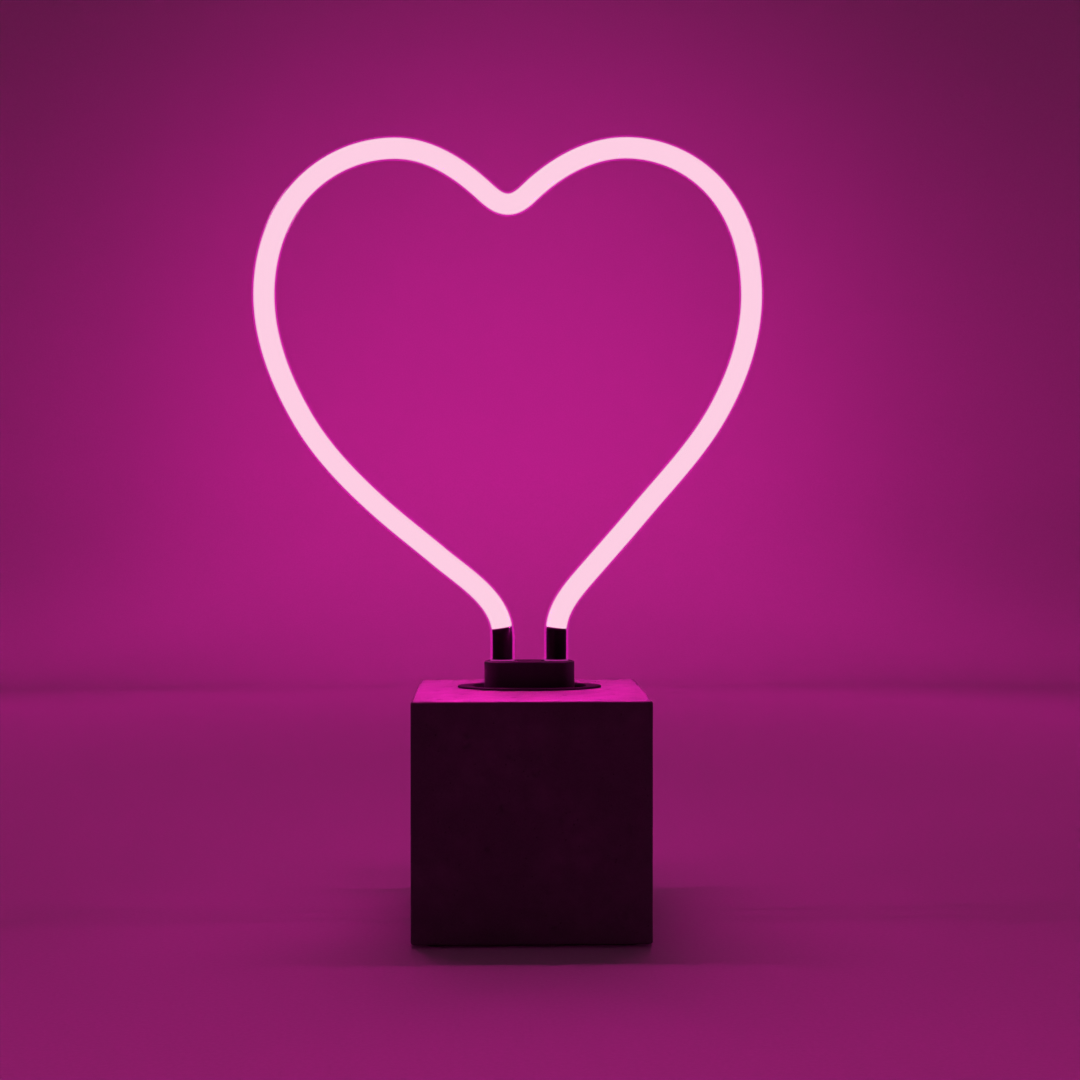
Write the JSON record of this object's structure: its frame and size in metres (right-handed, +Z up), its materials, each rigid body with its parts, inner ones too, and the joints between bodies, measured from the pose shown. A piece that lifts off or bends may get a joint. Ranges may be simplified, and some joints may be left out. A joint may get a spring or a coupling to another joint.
{
  "type": "neon table lamp",
  "caption": "Table lamp: a glowing pink glass neon tube bent into a heart outline, plugged upright into a socket in the top of a dark cast concrete cube.",
  "frame": {"origin": "centre of the base pad's underside, which is the surface the lamp stands on", "axes": "+Z up, front towards -Y, +X to the right seen from the front; the heart lies in a plane parallel to XZ"},
  "size_m": [0.1936, 0.0877, 0.2954],
  "materials": {
    "tube_glass": "clear bent glass, glossy",
    "neon_glow": "glowing pink lining",
    "electrode_black": "matte dark shell",
    "seal_glass": "fused glass",
    "cast_concrete": "fine cast concrete, matte, small pits",
    "black_plastic": "satin black moulding",
    "case_plastic": "satin dark moulding",
    "rocker_plastic": "semi-gloss black moulding",
    "black_rubber": "matte black",
    "foam_pad": "soft dark foam rubber",
    "zinc_steel": "zinc plated",
    "brass": "bright",
    "copper": "enamelled copper",
    "aluminium": "extruded",
    "board_green": "solder mask",
    "ferrite": "sintered, matte",
    "capacitor_can": "sleeved can",
    "ceramic_blue": "glazed disc",
    "white_silicone": "silicone insulation",
    "red_insulation": "vinyl insulation",
    "black_insulation": "vinyl insulation"
  },
  "bodies": {
    "base": {"concrete_block": "cast_concrete", "base_cover": "black_plastic", "base_pad": "foam_pad", "socket": "black_plastic", "socket_retainer": "zinc_steel", "inverter_case": "case_plastic", "inverter_lid": "case_plastic", "circuit_board": "board_green", "transformer_core": "ferrite", "transformer_winding": "copper", "reservoir_capacitor": "capacitor_can", "hv_capacitor": "ceramic_blue", "transistor": "case_plastic", "heat_sink": "aluminium", "dc_inlet_body": "black_plastic", "dc_inlet_pin": "brass", "dc_inlet_nut": "zinc_steel", "dc_inlet_terminal": "brass", "switch_housing": "black_plastic", "switch_pivot_pin": "zinc_steel", "switch_terminal_upper": "brass", "switch_terminal_lower": "brass", "dc_wire_supply": "red_insulation", "dc_wire_switched": "red_insulation", "dc_wire_return": "black_insulation", "socket_contact_left": "brass", "hv_wire_left": "white_silicone", "socket_contact_right": "brass", "hv_wire_right": "white_silicone", "cover_screw_front_left": "zinc_steel", "screw_insert_front_left": "brass", "cover_screw_front_right": "zinc_steel", "screw_insert_front_right": "brass", "cover_screw_rear_left": "zinc_steel", "screw_insert_rear_left": "brass", "cover_screw_rear_right": "zinc_steel", "screw_insert_rear_right": "brass"},
    "head": {"neon_tube": "tube_glass", "phosphor_lining": "neon_glow", "plug_block": "black_plastic", "plug_base": "black_plastic", "plug_screw_front": "zinc_steel", "plug_screw_rear": "zinc_steel", "electrode_shell_left": "electrode_black", "electrode_seal_left": "seal_glass", "lead_wire_left": "copper", "tube_grommet_left": "black_rubber", "contact_pin_left": "brass", "electrode_shell_right": "electrode_black", "electrode_seal_right": "seal_glass", "lead_wire_right": "copper", "tube_grommet_right": "black_rubber", "contact_pin_right": "brass"},
    "rocker": {"switch_rocker": "rocker_plastic"}
  },
  "joints": [
    {"name": "head_lift", "type": "slide", "parent": "base", "child": "head", "axis": [0, 0, 1], "range_m": [0, 0.035]},
    {"name": "switch_rock", "type": "hinge", "parent": "base", "child": "rocker", "pos_m": [0.013, 0.039, 0.022], "axis": [1, 0, 0], "range_deg": [-16, 0]}
  ]
}
